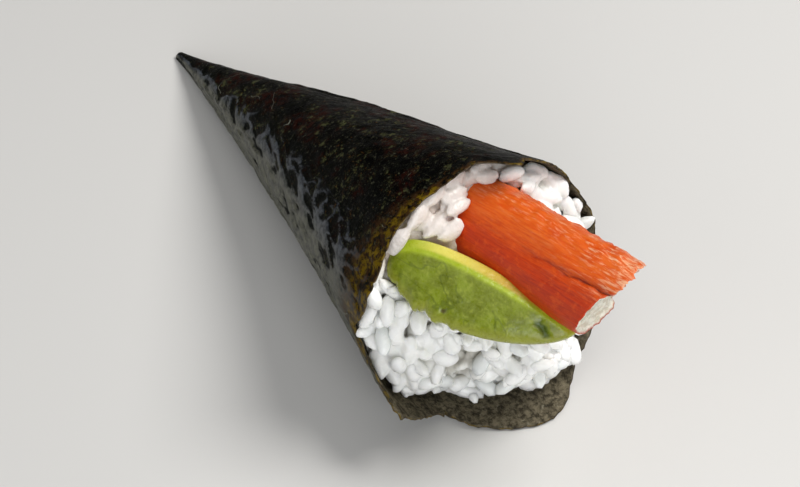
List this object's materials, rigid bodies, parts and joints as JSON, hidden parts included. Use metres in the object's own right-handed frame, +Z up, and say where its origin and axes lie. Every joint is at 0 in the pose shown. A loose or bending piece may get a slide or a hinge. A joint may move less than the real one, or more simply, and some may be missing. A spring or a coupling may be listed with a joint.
{
  "type": "temaki hand roll",
  "caption": "Cone of nori wrapped round sushi rice, with a crab stick and an avocado slice reaching out of its open end; lies on its side.",
  "frame": {"origin": "middle of the roll's bounding box, on the surface it rests on", "axes": "+X from the closed tip towards the open mouth and the fillings, +Z up, with the roll lying on its flat lowest strip"},
  "size_m": [0.1536, 0.0592, 0.059],
  "materials": {
    "nori": "dried seaweed sheet, near black with dark green and brown mottling, soft grey sheen",
    "rice": "moist cooked short-grain rice, white and slightly translucent",
    "crab_stick": "moist fibrous stick, orange-red outside and white at its cut end",
    "avocado": "moist cut flesh, green with a yellow band along its inner edge"
  },
  "bodies": {
    "root": {"nori": "nori", "rice": "rice", "crab_stick": "crab_stick", "avocado": "avocado"}
  },
  "joints": []
}
